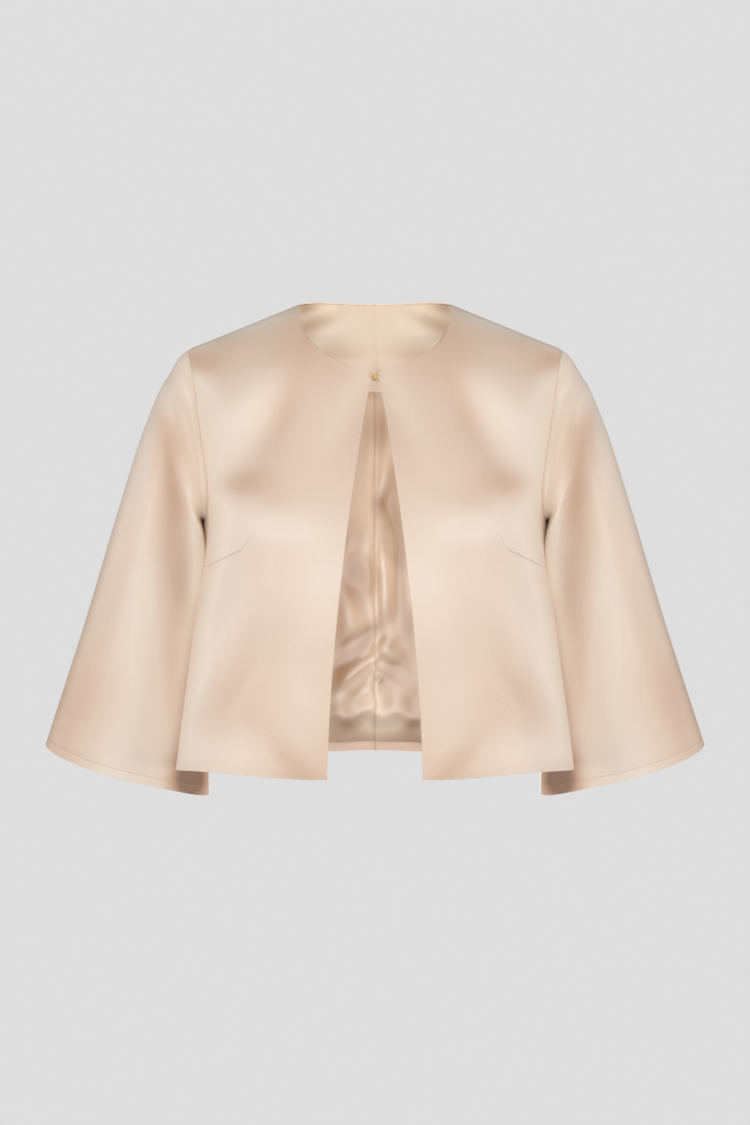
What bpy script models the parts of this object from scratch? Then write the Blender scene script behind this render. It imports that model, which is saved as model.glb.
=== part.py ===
"""A cropped satin bolero jacket, filled out as if worn, with nobody in it.

Metres, +Z up, the front faces -Y and the wearer's left is +X. The origin is midway between the two points
where the shoulder seams meet the neck, which is where the wearer's shoulders carry the jacket.

Each cloth piece is a wall between an outer grid of points and the same grid moved in by the cloth's thickness.
The body's panels share one skin: a stack of level rings whose top is rolled over the shoulders. A point of the
skin is given by an angle round the ring, from the middle to the side, and by an unrolled height, which is the
real height below the shoulder's roll and the length of cloth above it.
"""

from math import acos, asin, cos, exp, pi, radians, sin

import bmesh
import bpy
from mathutils import Vector

# Driving dimensions of the body
NECK_HALF = 0.0787          # middle to where the shoulder seam meets the neck
TIP_HALF = 0.1943           # middle to the shoulder tip, where the sleeve starts
TIP_DROP = 0.0504           # the shoulder tip below the neck point
FRONT_NECK_DROP = 0.0800    # the front neck below the neck point
BACK_NECK_RISE = 0.0065     # the back neck above the neck point
UNDERARM = -0.2330          # height of the bottom of the armhole
HEM_FRONT = -0.4860
HEM_SIDE = -0.4880
HEM_BACK = -0.4810
HEM_LIFT = 0.0045           # how far the front's hem rises halfway round to the side
GAP_TOP = 0.0035            # half the front opening at the neck
GAP_HEM = 0.0468            # half the front opening at the hem
GAP_CURVE = 1.6             # how soon the opening spreads
SEAM_FORWARD = 0.0100       # the shoulder seam lies this far in front of the side
BUST_X = 0.0880
BUST_Z = -0.2450
BUST_RISE = 0.0120          # what the bust dart adds in depth
BUST_WIDE = 0.0520
BUST_ABOVE = 0.0560
BUST_BELOW = 0.1100

# Cloth
WALL = 0.0015               # satin with its interfacing
HEM_WALL = 0.0027           # satin turned up on itself
LINING_WALL = 0.0010
SEAM_GAP = 0.0003
BODY_TURN_UP = 0.0130       # turned-up hem that shows below the lining
SLEEVE_TURN_UP = 0.0100
FACING_HALF = 0.1365        # where the back neck facing's lower edge meets the shoulder seam
FACING_BOTTOM = -0.0836     # its lower edge at the middle of the back

# Hook and eye, measured from where they meet: across the opening, up and in from the cloth's inner face
HOOK_DROP = 0.0062          # below the front neck point
WIRE = 0.0005               # its radius
RING_RADIUS = 0.0011        # a ring that is sewn down
EYE_RING_X = 0.0056
EYE_HALF = 0.0030           # half the eye's width, which is the radius of its nose
NOSE_X = -0.0016            # how far the nose reaches past the middle
HOOK_RING_X = -0.0062
HOOK_HALF = 0.0012          # half the distance between the hook's two wires
BILL_X = -0.0022

# The level rings of the body. fullness squares a ring off, from 0 for an ellipse.
BODY_RINGS = [
    # height, half_width, front_depth, back_depth, front_fullness, back_fullness
    (-0.488, 0.2085, 0.1240, 0.1160, 0.20, 0.00),
    (-0.437, 0.2020, 0.1225, 0.1110, 0.22, 0.00),
    (-0.380, 0.1945, 0.1205, 0.1070, 0.25, 0.02),
    (-0.330, 0.1880, 0.1185, 0.1050, 0.28, 0.08),
    (-0.278, 0.1800, 0.1160, 0.1060, 0.30, 0.20),
    (-0.233, 0.1795, 0.1100, 0.1080, 0.32, 0.35),
    (-0.187, 0.1865, 0.1010, 0.1100, 0.35, 0.40),
    (-0.136, 0.1940, 0.0890, 0.1080, 0.35, 0.40),
    (-0.080, 0.2030, 0.0765, 0.1020, 0.35, 0.36),
    (-0.020, 0.2160, 0.0720, 0.0960, 0.30, 0.30),
    (0.060, 0.2360, 0.0680, 0.0920, 0.25, 0.25),
]
HEIGHT, HALF_WIDTH, FRONT_DEPTH, BACK_DEPTH, FRONT_FULL, BACK_FULL = range(6)

# How the armhole bends between the shoulder tip and the underarm
ARMHOLE_BENDS = {
    # facing: upper_angle, upper_drop, lower_angle, lower_rise
    -1: (78, 0.130, 50, 0.0005),
    1: (66, 0.080, 56, 0.012),
}

# The sleeve's rings below the armhole, each by its outer and inner end, with the sleeve behind the body's side
# further down. The front of a ring hangs lower than its ends by front_drop.
SLEEVE_RINGS = [
    # outer_x, outer_y, outer_z, inner_x, inner_y, inner_z, half_depth, front_drop
    (0.2215, 0.0000, -0.0810, 0.1830, 0.0000, -0.2270, 0.0580, 0.0000),
    (0.2465, 0.0000, -0.1370, 0.1835, 0.0040, -0.2440, 0.0600, 0.0000),
    (0.2715, 0.0080, -0.2200, 0.1835, 0.0220, -0.2760, 0.0590, 0.0030),
    (0.3105, 0.0300, -0.3413, 0.1880, 0.0620, -0.3800, 0.0560, 0.0090),
    (0.3552, 0.0520, -0.4700, 0.1882, 0.1000, -0.5140, 0.0620, 0.0135),
]

# How finely the cloth is divided
FRONT_COLUMNS = 10
BACK_COLUMNS = 9
SIDE_ROWS = 7
ARMHOLE_ROWS = 12
SHOULDER_ROWS = 6
FACING_ROWS = 4             # the last of the shoulder's rows, which the facing covers
EASING = 4                  # passes that even out the rim's directions round the armhole
SLEEVE_ROWS = (2, 3, 3, 3, 3)

# Colours: linear red, green and blue
SATIN = (0.80, 0.63, 0.50)
LINING = (0.66, 0.47, 0.35)
GILT = (0.62, 0.42, 0.16)


def clear_scene():
    for item in list(bpy.data.objects):
        bpy.data.objects.remove(item)


def blend_rows(table, column, at):
    """A column of a table at any height, on a smooth curve through its rows."""
    heights = [row[HEIGHT] for row in table]
    at = min(max(at, heights[0]), heights[-1])
    low = max(i for i in range(len(heights) - 1) if heights[i] <= at or i == 0)
    span = heights[low + 1] - heights[low]
    t = (at - heights[low]) / span

    def slope(i):
        before, after = max(i - 1, 0), min(i + 1, len(table) - 1)
        return (table[after][column] - table[before][column]) / (heights[after] - heights[before])

    start, end = table[low][column], table[low + 1][column]
    return (
        start * (2 * t**3 - 3 * t**2 + 1)
        + slope(low) * span * (t**3 - 2 * t**2 + t)
        + end * (3 * t**2 - 2 * t**3)
        + slope(low + 1) * span * (t**3 - t**2)
    )


def lerp(a, b, t):
    return a + (b - a) * t


def shoulder_height(x):
    """Height of the shoulder seam, carried smoothly on across the neck."""
    slope = TIP_DROP / (TIP_HALF - NECK_HALF)
    if abs(x) > NECK_HALF:
        return slope * (NECK_HALF - abs(x))
    return slope * (NECK_HALF**2 - x**2) / (2 * NECK_HALF)


class Skin:
    """One side of the body, front or back: where a ring angle and an unrolled height lie in space."""

    def __init__(self, facing, roll, start, depth, fullness):
        self.facing = facing        # -1 for the front, 1 for the back
        self.roll = roll            # radius of the roll over the shoulder
        self.start = start          # slope of the roll at the seam
        self.depth = depth
        self.fullness = fullness
        self.rolled = roll * (pi / 2 - start)

    def seam(self, x):
        """Unrolled height of the shoulder seam."""
        return shoulder_height(x) - self.roll * cos(self.start) + self.rolled

    def unrolled(self, x, z):
        """Unrolled height of a point at x and the real height z."""
        drop = shoulder_height(x) - z
        if drop >= self.roll * cos(self.start):
            return z
        angle = acos(min(1.0, cos(self.start) - drop / self.roll))
        return self.seam(x) - self.roll * (angle - self.start)

    def angle(self, x, height):
        return asin(min(1.0, x / blend_rows(BODY_RINGS, HALF_WIDTH, height)))

    def point(self, angle, height):
        x = blend_rows(BODY_RINGS, HALF_WIDTH, height) * sin(angle)
        bend = self.start + (self.seam(x) - height) / self.roll
        share, z = 1.0, height
        if bend < pi / 2:
            share = (sin(bend) - sin(self.start)) / (1 - sin(self.start))
            z = shoulder_height(x) - self.roll * (cos(self.start) - cos(bend))
        squared = 1 + blend_rows(BODY_RINGS, self.fullness, height) * sin(angle) ** 2
        depth = blend_rows(BODY_RINGS, self.depth, height) * cos(angle) * squared
        if self.facing < 0:
            depth += bust(x, height) * cos(angle) ** 0.5 if angle < pi / 2 else 0.0
        return Vector((x, lerp(-SEAM_FORWARD, self.facing * depth, share), z))

    def normal(self, angle, height):
        """Outward direction of the skin, from two short steps along it."""
        step = 0.0005
        turned = self.point(min(angle + step, pi / 2), height) - self.point(angle - step, height)
        raised = self.point(angle, height + step) - self.point(angle, height - step)
        return (turned.cross(raised) * -self.facing).normalized()


def bust(x, height):
    tall = BUST_ABOVE if height > BUST_Z else BUST_BELOW
    across = ((abs(x) - BUST_X) / BUST_WIDE) ** 2
    return BUST_RISE * exp(-across - ((height - BUST_Z) / tall) ** 2)


FRONT = Skin(-1, 0.100, radians(14), FRONT_DEPTH, FRONT_FULL)
BACK = Skin(1, 0.065, radians(-14), BACK_DEPTH, BACK_FULL)


def cubic(controls, t):
    """A point of the cubic curve that four control points give."""
    weights = [(1 - t) ** 3, 3 * t * (1 - t) ** 2, 3 * t**2 * (1 - t), t**3]
    return [sum(w * c[axis] for w, c in zip(weights, controls)) for axis in (0, 1)]


def armhole(skin, step):
    """Skin coordinates on the armhole, from the shoulder tip at 0 to the underarm at ARMHOLE_ROWS."""
    top = skin.seam(TIP_HALF) - SEAM_GAP / 2
    upper_angle, upper_drop, lower_angle, lower_rise = ARMHOLE_BENDS[skin.facing]
    controls = [
        (skin.angle(TIP_HALF, top), top),
        (radians(upper_angle), top - upper_drop),
        (radians(lower_angle), UNDERARM + lower_rise),
        (pi / 2, UNDERARM),
    ]
    return cubic(controls, 1 - (1 - step / ARMHOLE_ROWS) ** 1.25)


def side_edge(skin, side_gap):
    """The panel's outer edge from the hem up: side seam, armhole and shoulder seam."""
    edge = []
    for row in range(SIDE_ROWS):
        height = lerp(HEM_SIDE, UNDERARM, row / SIDE_ROWS)
        edge.append((pi / 2 - side_gap, height))
    for row in range(ARMHOLE_ROWS, -1, -1):
        angle, height = armhole(skin, row)
        edge.append((min(angle, pi / 2 - side_gap), height))
    outside = SHOULDER_ROWS - FACING_ROWS
    for row in range(1, SHOULDER_ROWS + 1):
        if row <= outside:
            x = lerp(TIP_HALF, FACING_HALF, row / outside)
        else:
            x = lerp(FACING_HALF, NECK_HALF, (row - outside) / FACING_ROWS)
        height = skin.seam(x) - SEAM_GAP / 2
        edge.append((skin.angle(x, height), height))
    return edge


def front_gap(height):
    """Half the front opening at a height."""
    down = min(max((-FRONT_NECK_DROP - height) / (-FRONT_NECK_DROP - HEM_FRONT), 0), 1)
    return lerp(GAP_TOP, GAP_HEM, 1 - (1 - down) ** GAP_CURVE)


def middle_edge(skin, heights, gap):
    """The panel's inner edge from the hem up, through the given heights with equal rows between them."""
    edge = [(skin.angle(gap(heights[0][0]), heights[0][0]), heights[0][0])]
    for (low, _), (high, rows) in zip(heights, heights[1:]):
        for row in range(1, rows + 1):
            height = lerp(low, high, row / rows)
            edge.append((skin.angle(gap(height), height), height))
    return edge


def front_neckline(t):
    """The front neck edge as one cubic curve, seen from the front, from the opening to the shoulder."""
    controls = [
        (GAP_TOP, -FRONT_NECK_DROP),
        (0.0350, -0.0720),
        (NECK_HALF, -0.0620),
        (NECK_HALF, 0.0),
    ]
    x, z = cubic(controls, t)
    height = FRONT.unrolled(x, z)
    return FRONT.angle(x, height), height


def back_curve(half, middle):
    """A neck-like curve on the back, from the middle at that height out to the shoulder seam."""

    def along(t):
        x = half * sin(t * pi / 2)
        height = lerp(BACK.seam(half) - SEAM_GAP / 2, middle, cos(t * pi / 2))
        return BACK.angle(max(x, SEAM_GAP / 2), height), height

    return along


def panel_grid(start, end, top, columns, bend_rows):
    """Rows of skin coordinates from the inner edge to the outer one, bent to the top curve over the last rows."""
    last = len(start) - 1
    first, final = top(0.0), top(1.0)
    grid = []
    for row in range(last + 1):
        near = max(0.0, (row - last + bend_rows) / bend_rows)
        line = []
        for column in range(columns + 1):
            u = column / columns
            curve = top(u)
            bend = [near**2 * (curve[i] - lerp(first[i], final[i], u)) for i in (0, 1)]
            line.append(tuple(lerp(start[row][i], end[row][i], u) + bend[i] for i in (0, 1)))
        grid.append(line)
    return grid


def wall(outer, inner, closed=False, middle=0):
    """A closed wall between two grids of points with the same rows and columns. closed joins each row's ends.

    Every four-sided face starts at the corner that makes its diagonal match the face across the wall or seam.
    Columns before the middle one mirror the rest, and so do their diagonals.
    """
    mesh = bmesh.new()
    rows, columns = len(outer), len(outer[0])
    out, into = ([[mesh.verts.new(p) for p in line] for line in grid] for grid in (outer, inner))
    across = columns if closed else columns - 1
    for column in range(across):
        beside = (column + 1) % columns
        for row in range(rows - 1):
            for grid in (out, into):
                low, high = grid[row], grid[row + 1]
                face = [low[column], low[beside], high[beside], high[column]]
                if column < middle:
                    face = [face[1], face[2], face[3], face[0]]
                if grid is into:
                    face = [face[0], face[3], face[2], face[1]]
                mesh.faces.new(face)
        mesh.faces.new([out[0][beside], out[0][column], into[0][column], into[0][beside]])
        mesh.faces.new([out[-1][column], out[-1][beside], into[-1][beside], into[-1][column]])
    if not closed:
        for row in range(rows - 1):
            mesh.faces.new([out[row][0], out[row + 1][0], into[row + 1][0], into[row][0]])
            mesh.faces.new([out[row][-1], into[row][-1], into[row + 1][-1], out[row + 1][-1]])
    bmesh.ops.recalc_face_normals(mesh, faces=mesh.faces[:])
    if mesh.calc_volume(signed=True) < 0:
        bmesh.ops.reverse_faces(mesh, faces=mesh.faces[:])
    return mesh


def make_material(name, colour, roughness, metallic=0.0):
    material = bpy.data.materials.new(name)
    material.use_nodes = True
    shader = material.node_tree.nodes["Principled BSDF"]
    shader.inputs["Base Color"].default_value = (*colour, 1.0)
    shader.inputs["Roughness"].default_value = roughness
    shader.inputs["Metallic"].default_value = metallic
    return material


def add_piece(name, mesh, material, collection):
    data = bpy.data.meshes.new(name)
    mesh.to_mesh(data)
    mesh.free()
    data.materials.append(material)
    piece = bpy.data.objects.new(name, data)
    collection.objects.link(piece)
    data.shade_smooth()
    data.set_sharp_from_angle(angle=radians(50))
    return piece


def mirrored(points, side):
    return [[Vector((side * p.x, p.y, p.z)) for p in line] for line in points]


def panel_wall(places, thickness, side, inset=0.0, middle=0):
    """The wall of a panel: its outer points lie inset under the skin, and thickness gives it from the row."""
    outer, inner = [], []
    for row, line in enumerate(places):
        outer.append([p - n * inset for p, n in line])
        inner.append([p - n * (inset + thickness(row)) for p, n in line])
    return wall(mirrored(outer, side), mirrored(inner, side), middle=middle)


def with_hem(grid, turn_up):
    """The grid with rows put in at the top of its turned-up hem, and the number of the row above it."""
    share = turn_up / (grid[1][0][1] - grid[0][0][1])
    step = 0.001 / (grid[1][0][1] - grid[0][0][1])
    rows = [
        [tuple(lerp(a[i], b[i], t) for i in (0, 1)) for a, b in zip(grid[0], grid[1])]
        for t in (share, share + step)
    ]
    return [grid[0], *rows, *grid[1:]]


def hem_thickness(row):
    return HEM_WALL if row < 2 else WALL


def front_grid():
    gap = SEAM_GAP / 2 / blend_rows(BODY_RINGS, FRONT_DEPTH, HEM_SIDE)
    heights = [(HEM_FRONT, 0), (UNDERARM, SIDE_ROWS), (-FRONT_NECK_DROP, ARMHOLE_ROWS + SHOULDER_ROWS)]
    start = middle_edge(FRONT, heights, front_gap)
    grid = panel_grid(start, side_edge(FRONT, gap), front_neckline, FRONT_COLUMNS, ARMHOLE_ROWS + SHOULDER_ROWS)
    for row in range(SIDE_ROWS):
        near = 1 - row / SIDE_ROWS
        for column, (angle, height) in enumerate(grid[row]):
            lift = HEM_LIFT * sin(pi * column / FRONT_COLUMNS) ** 2
            grid[row][column] = (angle, height + near * lift)
    return grid


def back_grid():
    """The back's rows. The last FACING_ROWS lie between the facing's lower edge and the neck."""
    gap = SEAM_GAP / 2 / blend_rows(BODY_RINGS, BACK_DEPTH, HEM_BACK)
    rows_below = ARMHOLE_ROWS + SHOULDER_ROWS - FACING_ROWS
    heights = [(HEM_BACK, 0), (UNDERARM, SIDE_ROWS), (FACING_BOTTOM, rows_below)]
    start = middle_edge(BACK, heights, lambda height: SEAM_GAP / 2)
    end = side_edge(BACK, gap)
    lower = back_curve(FACING_HALF, FACING_BOTTOM)
    upper = back_curve(NECK_HALF, BACK.unrolled(0.0, BACK_NECK_RISE))
    grid = panel_grid(start, end[:-FACING_ROWS], lower, BACK_COLUMNS, rows_below)
    for row in range(1, FACING_ROWS + 1):
        edge = end[row - FACING_ROWS - 1]
        line = []
        for column in range(BACK_COLUMNS + 1):
            u = column / BACK_COLUMNS
            point = [lerp(lower(u)[i], upper(u)[i], row / FACING_ROWS) for i in (0, 1)]
            shift = [edge[i] - lerp(lower(1)[i], upper(1)[i], row / FACING_ROWS) for i in (0, 1)]
            line.append(tuple(point[i] + u * shift[i] for i in (0, 1)))
        grid.append(line)
    return grid


def skin_places(skin, grid):
    """The points and outward directions of a grid of skin coordinates."""
    return [[(skin.point(*at), skin.normal(*at)) for at in line] for line in grid]


def join_seams(front, back, underarm, tip):
    """Give the rims of the front and the back one direction where a seam joins them, and ease it in between."""
    for row in [*range(underarm + 1), *range(tip, len(front))]:
        shared = (front[row][-1][1] + back[row][-1][1]).normalized()
        front[row][-1] = (front[row][-1][0], shared)
        back[row][-1] = (back[row][-1][0], shared)
    for places in [front, back] * EASING:
        eased = {}
        for row in range(underarm + 1, tip):
            eased[row] = sum((places[row + step][-1][1] for step in (-1, 0, 1)), Vector()).normalized()
        for row, direction in eased.items():
            places[row][-1] = (places[row][-1][0], direction)


def armhole_loop(front, back, rows):
    """The armhole round from the shoulder tip by the front and the underarm, and up the back.

    Each entry holds a point on the cloth's outer face, its outward direction and the way across the seam.
    """
    front_rim = [(*front[row][-1], front[row - 1][-2][0]) for row in rows]
    back_rim = [(*back[row][-1], back[row - 1][-2][0]) for row in rows]
    tip = [(a + b) / 2 for a, b in zip(front_rim[0], back_rim[0])]
    underarm = [(a + b) / 2 for a, b in zip(front_rim[-1], back_rim[-1])]
    rim = [tip, *front_rim[1:-1], underarm, *back_rim[-2:0:-1]]
    loop = []
    for i, (point, normal, within) in enumerate(rim):
        along = rim[(i + 1) % len(rim)][0] - rim[i - 1][0]
        across = normal.cross(along).normalized()
        if across.dot(point - within) < 0:
            across = -across
        loop.append((point, normal.normalized(), across))
    return loop


def ring_point(row, turn):
    """A point of a sleeve ring: turn is 0 at the outer end, a quarter at the front, a half at the inner end."""
    outer, inner = Vector(row[0:3]), Vector(row[3:6])
    half_depth, front_drop = row[6:8]
    reach = (outer - inner) / 2
    ahead = Vector((-reach.y, reach.x, 0.0)).normalized() * -half_depth
    ahead.z = -front_drop
    return (outer + inner) / 2 + reach * cos(turn) + ahead * sin(turn)


def through_knots(knots, tangent, rows):
    """Points on a smooth curve through knots, rows of them after each knot. tangent is the way out of the first."""
    slopes = [tangent * (knots[1] - knots[0]).length]
    for i in range(1, len(knots)):
        if i == len(knots) - 1:
            slopes.append(knots[i] - knots[i - 1])
        else:
            before, after = knots[i] - knots[i - 1], knots[i + 1] - knots[i]
            slopes.append((before.normalized() + after.normalized()).normalized() * min(before.length, after.length))
    points = [knots[0]]
    for i in range(len(knots) - 1):
        for step in range(1, rows[i] + 1):
            t = step / rows[i]
            points.append(
                knots[i] * (2 * t**3 - 3 * t**2 + 1)
                + slopes[i] * (t**3 - 2 * t**2 + t)
                + knots[i + 1] * (3 * t**2 - 2 * t**3)
                + slopes[i + 1] * (t**3 - t**2)
            )
    return points


def sleeve_wall(loop, side):
    """The sleeve: its first ring lies across the seam from the armhole, and its wall is thicker at the hem."""
    count = len(loop)
    lines = []
    for i, (point, _, across) in enumerate(loop):
        turn = 2 * pi * i / count
        knots = [point + across * SEAM_GAP, *[ring_point(row, turn) for row in SLEEVE_RINGS]]
        lines.append(through_knots(knots, across, SLEEVE_ROWS))
    for line in lines:
        last = line[-1] - line[-2]
        line[-1:] = [line[-1] - last * (SLEEVE_TURN_UP / last.length), line[-1]]
    rows = len(lines[0])
    outer = [[lines[i][row] for i in range(count)] for row in range(rows)]
    inner = []
    for row in range(rows):
        ring = []
        for i in range(count):
            if row == 0:
                normal = loop[i][1]
            else:
                around = outer[row][(i + 1) % count] - outer[row][i - 1]
                down = outer[min(row + 1, rows - 1)][i] - outer[row - 1][i]
                normal = around.cross(down).normalized()
            thickness = HEM_WALL if row >= rows - 2 else WALL
            ring.append(outer[row][i] - normal * thickness)
        inner.append(ring)
    return wall(mirrored(outer, side), mirrored(inner, side), closed=True)


def slid(line, towards, distance):
    """A row of places moved along the cloth towards another row."""
    return [(p + (q - p).normalized() * distance, n) for (p, n), (q, _) in zip(line, towards)]


def lining_wall(back, side):
    """Half the back lining: the back's own points moved in, from above the turned-up hem to the facing."""
    places = back[2:-FACING_ROWS]
    places[0] = slid(places[0], places[1], SEAM_GAP)
    places[-1] = slid(places[-1], places[-2], SEAM_GAP)
    return panel_wall(places, lambda row: LINING_WALL, side, WALL + SEAM_GAP)


def facing_wall(back):
    """The back neck facing, in one piece across the middle: the back's own points moved in."""
    places = []
    for line in back[-FACING_ROWS - 1:]:
        middle = (Vector((0.0, *line[0][0].yz)), line[0][1])
        half = line[1:]
        other = [(Vector((-p.x, p.y, p.z)), Vector((-n.x, n.y, n.z))) for p, n in reversed(half)]
        places.append([*other, middle, *half])
    return panel_wall(places, lambda row: LINING_WALL, 1, WALL + SEAM_GAP, BACK_COLUMNS)


def wire(name, path, material, collection):
    """A round wire through a list of points."""
    curve = bpy.data.curves.new(name, "CURVE")
    curve.dimensions = "3D"
    curve.bevel_depth = WIRE
    curve.bevel_resolution = 1
    curve.use_fill_caps = True
    spline = curve.splines.new("POLY")
    spline.points.add(len(path) - 1)
    for knot, point in zip(spline.points, path):
        knot.co = (*point, 1.0)
    curve.materials.append(material)
    piece = bpy.data.objects.new(name, curve)
    collection.objects.link(piece)


def arc(centre, radius, start, end, steps):
    """Points on a circle, as a pair of coordinates each."""
    turns = [radians(lerp(start, end, step / steps)) for step in range(steps + 1)]
    return [(centre[0] + radius * cos(turn), centre[1] + radius * sin(turn)) for turn in turns]


def add_hook_and_eye(material, collection):
    """The eye on the left front and the hook on the right, fastened. Each has two rings behind the cloth."""
    height = -FRONT_NECK_DROP - HOOK_DROP
    base = FRONT.point(0.0, height)
    inward = -FRONT.normal(0.0, height)
    upward = (FRONT.point(0.0, height + 0.001) - FRONT.point(0.0, height - 0.001)).normalized()

    def place(across, up, deep):
        return base + Vector((across, 0.0, 0.0)) + upward * up + inward * (WALL + deep)

    flat = SEAM_GAP + WIRE
    over = 2 * WIRE + SEAM_GAP

    ring = arc((EYE_RING_X, EYE_HALF + RING_RADIUS), RING_RADIUS, -20, 270, 7)
    nose = arc((NOSE_X + EYE_HALF, 0.0), EYE_HALF, 90, 270, 7)
    outline = [*ring, *nose, *[(x, -up) for x, up in reversed(ring)]]
    wire("eye", [place(x, up, flat) for x, up in outline], material, collection)

    ring = arc((HOOK_RING_X, HOOK_HALF + RING_RADIUS), RING_RADIUS, 200, -90, 7)
    half = [(x, up, flat) for x, up in ring]
    half += [(HOOK_RING_X + 0.0012, HOOK_HALF, flat), (NOSE_X - over, HOOK_HALF, flat + over)]
    bend = arc((NOSE_X + over, flat), over, 90, -90, 6)
    half += [(x, HOOK_HALF, deep) for x, deep in bend]
    bill = arc((BILL_X, 0.0), HOOK_HALF, 90, 270, 4)
    path = [*half, *[(x, up, flat - over) for x, up in bill], *[(x, -up, deep) for x, up, deep in reversed(half)]]
    wire("hook", [place(*point) for point in path], material, collection)


def main():
    clear_scene()
    collection = bpy.data.collections.new("bolero_jacket")
    bpy.context.scene.collection.children.link(collection)
    satin = make_material("satin", SATIN, 0.38)
    lining = make_material("lining", LINING, 0.30)
    gilt = make_material("gilt_wire", GILT, 0.30, 1.0)

    front = skin_places(FRONT, with_hem(front_grid(), BODY_TURN_UP))
    back = skin_places(BACK, with_hem(back_grid(), BODY_TURN_UP))
    underarm = SIDE_ROWS + 2
    tip = underarm + ARMHOLE_ROWS
    join_seams(front, back, underarm, tip)
    for line in back:
        line[0] = (line[0][0], Vector((0.0, *line[0][1].yz)).normalized())
    loop = armhole_loop(front, back, range(tip, underarm - 1, -1))
    for side, word in ((1, "left"), (-1, "right")):
        add_piece(f"front_{word}", panel_wall(front, hem_thickness, side), satin, collection)
        add_piece(f"back_{word}", panel_wall(back, hem_thickness, side), satin, collection)
        add_piece(f"sleeve_{word}", sleeve_wall(loop, side), satin, collection)
        add_piece(f"back_lining_{word}", lining_wall(back, side), lining, collection)
    add_piece("back_neck_facing", facing_wall(back), satin, collection)
    add_hook_and_eye(gilt, collection)


main()
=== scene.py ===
"""The bolero jacket's looks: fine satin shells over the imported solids, with studio light and the camera.

The sizes repeat the part's own. A point of the body is given by an angle round a level ring, from the middle
to the side, and by an unrolled height. That is the real height below the shoulder's roll, and the length of
cloth above it.
"""

from math import cos, pi, radians, sin

import bmesh
import bpy
import numpy as np
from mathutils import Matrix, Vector


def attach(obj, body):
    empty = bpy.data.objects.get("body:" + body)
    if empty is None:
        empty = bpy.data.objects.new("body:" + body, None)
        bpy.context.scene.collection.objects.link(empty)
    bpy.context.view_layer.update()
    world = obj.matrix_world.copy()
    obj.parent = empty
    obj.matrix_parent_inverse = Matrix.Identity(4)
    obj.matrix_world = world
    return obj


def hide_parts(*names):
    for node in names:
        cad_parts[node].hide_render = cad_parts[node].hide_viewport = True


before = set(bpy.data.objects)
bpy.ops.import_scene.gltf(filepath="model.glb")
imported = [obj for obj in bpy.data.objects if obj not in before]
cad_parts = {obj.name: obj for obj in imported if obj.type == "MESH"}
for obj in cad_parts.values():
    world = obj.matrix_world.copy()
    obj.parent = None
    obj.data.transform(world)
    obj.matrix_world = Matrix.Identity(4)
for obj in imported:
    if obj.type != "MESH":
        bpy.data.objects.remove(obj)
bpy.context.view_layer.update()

# Sizes of the body, in metres
NECK_HALF = 0.0787
TIP_HALF = 0.1943
TIP_DROP = 0.0504
FRONT_NECK_DROP = 0.0800
BACK_NECK_RISE = 0.0062
NECK_SAG = 0.0031  # the cloth's shoulder seams meet the neck this far below the solids' level
UNDERARM = -0.2330
HEM_FRONT = -0.4860
HEM_SIDE = -0.4880
HEM_BACK = -0.4810
HEM_LIFT = 0.0045  # how far the front's hem rises halfway round to the side
GAP_TOP = 0.0035
GAP_HEM = 0.0468
GAP_CURVE = 1.6
GAP_PINCH = 0.0030  # how far the hook draws each front edge in
PINCH_REACH = 0.0120
SEAM_FORWARD = 0.0100
BUST_X = 0.0880
BUST_Z = -0.2450
BUST_RISE = 0.0120
BUST_WIDE = 0.0520
BUST_ABOVE = 0.0560
BUST_BELOW = 0.1100
FACING_HALF = 0.1365
FACING_BOTTOM = -0.0836
BODY_TURN_UP = 0.0130
SLEEVE_TURN_UP = 0.0100

# Cloth, in metres
WALL = 0.0012
HEM_WALL = 0.0024
HEM_STEP = 0.0004  # how softly the wall thickens at a hem's top
LINING_WALL = 0.0006
FACING_WALL = 0.0008
LINING_INSET = 0.0018  # from the back's outer side to the facing
LINING_STAND = 0.0010  # how much further in the lining lies
LINING_SINK = 0.0002  # how far its folds may sink back
LINING_RISE = 0.0098  # from the back's hem to the lining's lower edge
NECK_EDGE = 0.0025  # from the neck to the facing's stitched line
RIM = 0.00035  # how far a cut edge is rounded
LINING_RIM = 0.00012

# Seams and stitches, in metres
SEAM_LINE = 0.0009  # half the width of the fine line that a seam shows
SEAM_GROOVE = 0.0016  # half the width of its groove
SIDE_GROOVE = 0.0004  # the grooves' depths
MIDDLE_GROOVE = 0.0005
ARMHOLE_GROOVE = 0.0003
HEM_GROOVE = 0.0012  # half the width of the groove along the sleeve hem's stitches
HEM_GROOVE_DEPTH = 0.0005
NECK_GROOVE = 0.0007  # the same along the facing's stitched line
NECK_GROOVE_DEPTH = 0.0005
SHOULDER_LINE = 0.0045  # from the shoulder seam to the line beside it
FOLD_FADE = 0.0120  # the folds fade out this far from a body panel's outer seam
SLEEVE_FOLD_FADE = 0.0500
LINING_FOLD_FADE = 0.0200
FACING_TOP_FADE = 0.0060
FACING_LOW_FADE = 0.0100
STITCH_PITCH = 0.0028
STITCH_WIDTH = 0.00045
STITCH_GAP = 0.22  # the share of the pitch between two stitches
STITCH_PLACES = (0, 0.15, 0.5, 0.85, 1)  # where along a stitch its fullness is given
STITCH_FULLNESS = (0.3, 0.9, 1, 0.9, 0.3)
STITCH_SIDES = 6

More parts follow.
